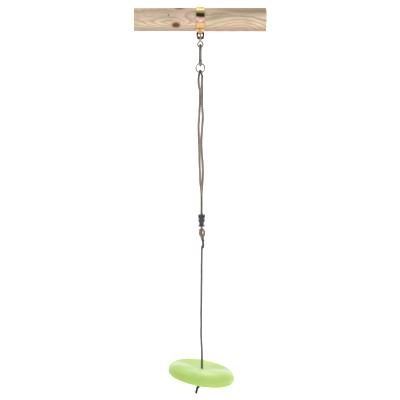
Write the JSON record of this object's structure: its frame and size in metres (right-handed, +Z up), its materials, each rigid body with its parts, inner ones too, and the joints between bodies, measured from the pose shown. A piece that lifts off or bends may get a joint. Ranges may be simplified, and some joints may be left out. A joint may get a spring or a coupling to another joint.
{
  "type": "disc_swing",
  "caption": "Disc swing: lime-green moulded plastic disc seat on a twisted rope with a length adjuster, hung by ring, snap hook and wire link from a band clamp on a round timber pole",
  "frame": {"origin": "centre of the left end face of the timber pole", "axes": "+X along the pole to its right end, +Y to the back, +Z up"},
  "size_m": [0.566, 0.2989, 1.7071],
  "materials": {
    "pine": "raw",
    "band_zinc": "yellow passivated zinc",
    "dark_steel": "dark passivated",
    "zinc": "zinc plated",
    "bright_zinc": "bright plated",
    "bush": "moulded",
    "rope": "three-strand twisted",
    "rope_end": "melted and bound",
    "black_plastic": "moulded",
    "green_plastic": "moulded"
  },
  "bodies": {
    "pole_and_clamp": {"pole": "pine", "clamp_band": "band_zinc", "stirrup": "dark_steel", "clamp_bolt": "dark_steel", "clamp_nut": "band_zinc", "link_bolt": "zinc", "link_nut": "zinc", "washer_left": "zinc", "washer_right": "zinc", "link_bush": "bush"},
    "link": {"twist_link": "zinc"},
    "hook": {"snap_hook": "zinc", "gate_pin": "zinc"},
    "gate": {"hook_gate": "zinc"},
    "ring_body": {"ring": "bright_zinc"},
    "rope_upper": {"rope_loop": "rope", "stopper_knot": "rope", "rope_neck": "rope", "rope_tail": "rope", "whip_tail": "rope_end"},
    "adjuster_body": {"adjuster": "black_plastic"},
    "rope_single": {"rope_lower": "rope", "seat_knot": "rope", "seat_washer": "black_plastic", "seat_tail": "rope", "whip_seat_tail": "rope_end"},
    "seat_body": {"seat": "green_plastic"}
  },
  "joints": [
    {"name": "link_swing", "type": "hinge", "parent": "pole_and_clamp", "child": "link", "pos_m": [0.284, 0, -0.078], "axis": [1, 0, 0], "range_deg": [-35, 35]},
    {"name": "hook_roll", "type": "hinge", "parent": "link", "child": "hook", "pos_m": [0.284, 0, -0.1076], "axis": [-0.1392, 0.9903, 0], "range_deg": [-15, 15]},
    {"name": "gate_open", "type": "hinge", "parent": "hook", "child": "gate", "pos_m": [0.28552, -0.01079, -0.131], "axis": [0.9903, 0.1392, 0], "range_deg": [0, 20], "stiffness_Nm_per_rad": 0.3, "springref_deg": -11.46},
    {"name": "ring_roll", "type": "hinge", "parent": "hook", "child": "ring_body", "pos_m": [0.284, 0, -0.1954], "axis": [-0.1392, 0.9903, 0], "range_deg": [-20, 20]},
    {"name": "rope_swing", "type": "hinge", "parent": "ring_body", "child": "rope_upper", "pos_m": [0.284, 0, -0.2262], "axis": [0.9397, -0.342, 0], "range_deg": [-25, 25]},
    {"name": "adjuster_slide", "type": "slide", "parent": "rope_upper", "child": "adjuster_body", "axis": [0, 0, 1], "range_m": [0, 0.07]},
    {"name": "seat_spin", "type": "hinge", "parent": "rope_upper", "child": "rope_single", "pos_m": [0.2904, 0, -0.9936], "axis": [0, 0, 1], "continuous": true},
    {"name": "seat_tilt", "type": "hinge", "parent": "rope_single", "child": "seat_body", "pos_m": [0.2912, 0, -1.543], "axis": [0, 1, 0], "range_deg": [-21, 2.5]}
  ]
}
